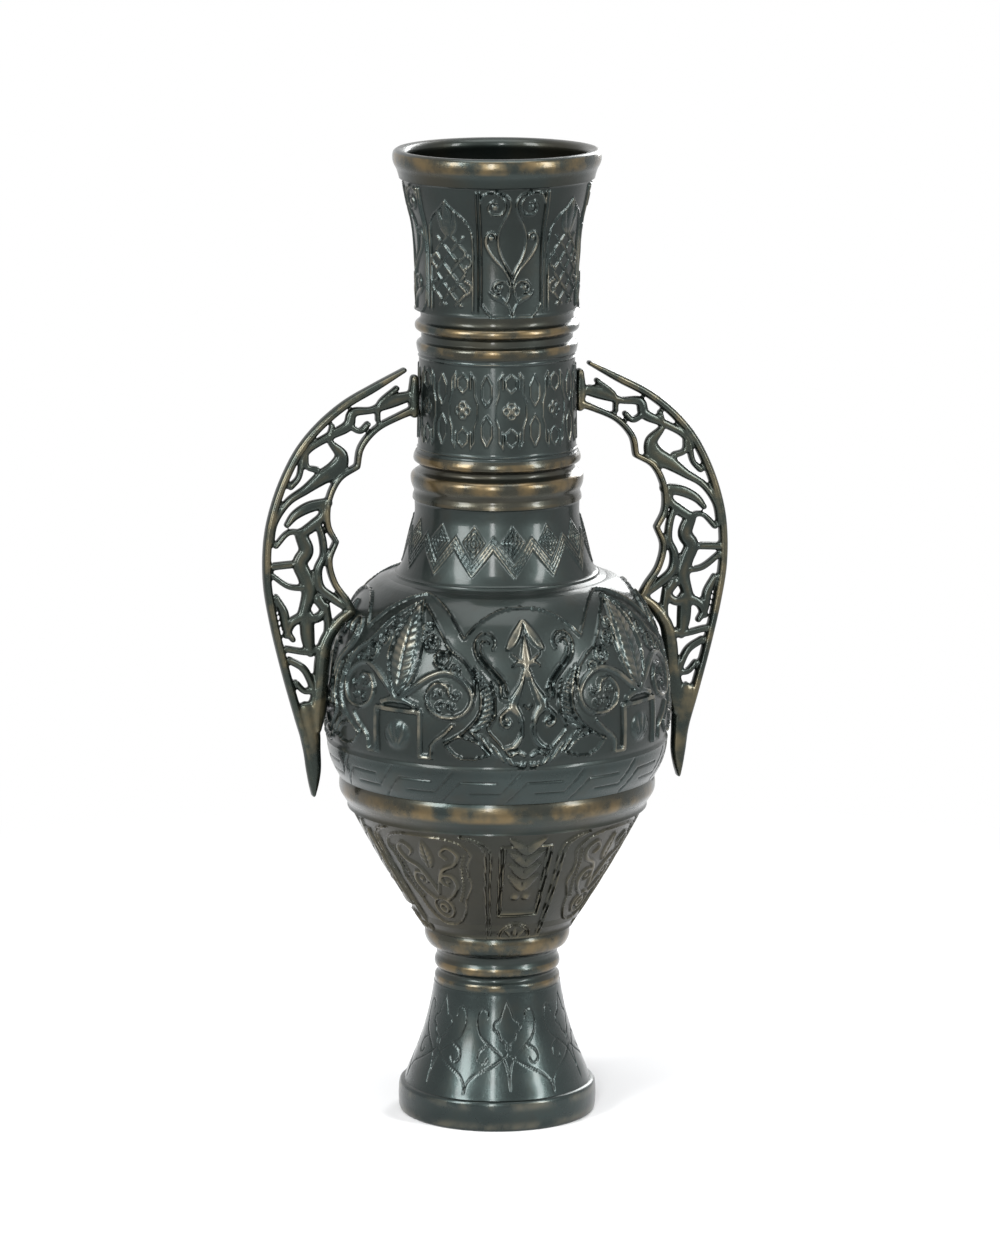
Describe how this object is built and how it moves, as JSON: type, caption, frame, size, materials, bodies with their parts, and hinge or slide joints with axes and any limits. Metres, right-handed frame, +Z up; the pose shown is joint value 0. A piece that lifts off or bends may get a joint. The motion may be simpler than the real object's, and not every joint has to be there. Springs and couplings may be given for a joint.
{
  "type": "twin-handled vase",
  "caption": "Tall patinated bronze baluster vase with a flared collar, a domed shoulder, a stepped foot and a pair of pierced scroll handles.",
  "frame": {"origin": "centre of the plinth's underside, on the vessel's axis", "axes": "+Z up along the vessel's axis, X through the two handles, Y from front to back"},
  "size_m": [0.3734, 0.2726, 0.76],
  "materials": {
    "dark_bronze": "dark green-black patinated bronze, satin",
    "brown_bronze": "brown patinated bronze, satin",
    "rubbed_bronze": "patinated bronze rubbed to golden brown on its edges",
    "fixing_steel": "plain turned steel, dull"
  },
  "bodies": {
    "root": {"foot_plinth": "dark_bronze", "foot": "dark_bronze", "stem_rings": "rubbed_bronze", "lower_body": "brown_bronze", "belly_moulding": "rubbed_bronze", "key_fret_band": "dark_bronze", "shoulder": "dark_bronze", "shoulder_cone": "dark_bronze", "lower_neck_rings": "rubbed_bronze", "neck_band": "dark_bronze", "upper_neck_rings": "rubbed_bronze", "neck_collar": "dark_bronze", "mouth_ring": "rubbed_bronze", "left_handle": "dark_bronze", "right_handle": "dark_bronze", "left_neck_screw": "fixing_steel", "right_neck_screw": "fixing_steel", "left_shoulder_screw": "fixing_steel", "right_shoulder_screw": "fixing_steel", "foot_bolt": "fixing_steel", "foot_washer": "fixing_steel", "foot_nut": "fixing_steel"}
  },
  "joints": []
}
